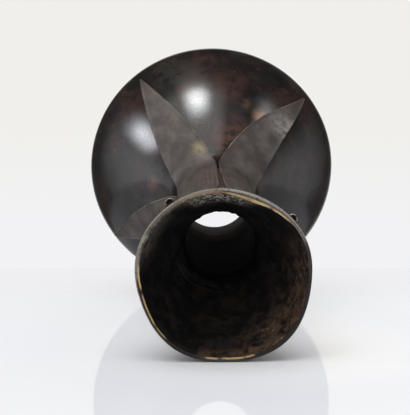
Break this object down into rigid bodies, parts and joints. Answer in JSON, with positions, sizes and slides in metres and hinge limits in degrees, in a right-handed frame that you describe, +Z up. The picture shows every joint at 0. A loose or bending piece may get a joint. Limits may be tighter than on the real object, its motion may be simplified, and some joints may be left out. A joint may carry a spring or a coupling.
{
  "type": "bronze flower vase",
  "caption": "Bronze bottle vase with a flared cup mouth, narrow neck, leaves laid over a squat shoulder, stalk loops under the lip and an open foot.",
  "frame": {"origin": "centre of the foot plane", "axes": "+Z up along the vase's axis, from the foot to the mouth"},
  "size_m": [0.142, 0.142, 0.23],
  "materials": {
    "dark_bronze": "dark brown patina, glossy",
    "worn_bronze": "worn grey-brown patina, satin",
    "lining_bronze": "brown patina, matte",
    "leaf_bronze": "grey-brown patina, matte"
  },
  "bodies": {
    "root": {"body_shell": "dark_bronze", "neck_tube": "dark_bronze", "mouth_cup": "worn_bronze", "mouth_lining": "lining_bronze", "leaf_1": "leaf_bronze", "leaf_2": "leaf_bronze", "leaf_3": "leaf_bronze", "leaf_4": "leaf_bronze", "stalk_loop_1": "worn_bronze", "stalk_loop_2": "worn_bronze", "stalk_loop_3": "worn_bronze", "stalk_loop_4": "worn_bronze"}
  },
  "joints": []
}
